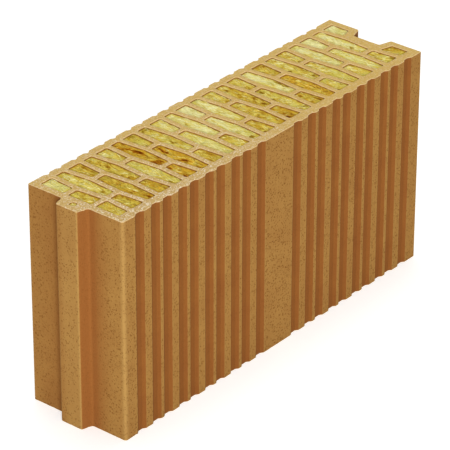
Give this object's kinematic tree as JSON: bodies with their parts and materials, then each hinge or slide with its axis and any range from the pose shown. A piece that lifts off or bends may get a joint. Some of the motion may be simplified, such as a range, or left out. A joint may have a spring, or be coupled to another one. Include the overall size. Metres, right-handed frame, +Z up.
{
  "type": "wool-filled clay block",
  "caption": "Hollow clay masonry block with zigzag cell walls packed with mineral wool, plaster grooves on both long faces, and a tongue and a matching groove on its ends.",
  "frame": {"origin": "on the lower bed face, under the middle of the whole block with its tongue", "axes": "+X along the block from the tongue to the end groove, +Y across it from the widely grooved face, +Z up along the cells"},
  "size_m": [0.4926, 0.1226, 0.249],
  "materials": {
    "clay": "fired clay, matt",
    "wool": "loose fibre, matt"
  },
  "bodies": {
    "root": {"clay_block": "clay", "wool_01_far": "wool", "wool_01_middle": "wool", "wool_01_near": "wool", "wool_02_far": "wool", "wool_02_near": "wool", "wool_03_far": "wool", "wool_03_near": "wool", "wool_04_far": "wool", "wool_04_near": "wool", "wool_05_far": "wool", "wool_05_near": "wool", "wool_06_far": "wool", "wool_06_near": "wool", "wool_07_far": "wool", "wool_07_near": "wool", "wool_08_far": "wool", "wool_08_near": "wool", "wool_09_far": "wool", "wool_09_near": "wool", "wool_10_far": "wool", "wool_10_near": "wool", "wool_11_far": "wool", "wool_11_near": "wool", "wool_12_far": "wool", "wool_12_near": "wool", "wool_13_far": "wool", "wool_13_near": "wool", "wool_14_far": "wool", "wool_14_near": "wool", "wool_15_far": "wool", "wool_15_near": "wool", "wool_16_far": "wool", "wool_16_near": "wool", "wool_17_far": "wool", "wool_17_near": "wool", "wool_18_far": "wool", "wool_18_near": "wool", "wool_19_far": "wool", "wool_19_near": "wool", "wool_20_far": "wool", "wool_20_near": "wool", "wool_21_far": "wool", "wool_21_near": "wool", "wool_22_far": "wool", "wool_22_near": "wool", "wool_23_far": "wool", "wool_23_near": "wool", "wool_tongue": "wool"}
  },
  "joints": []
}
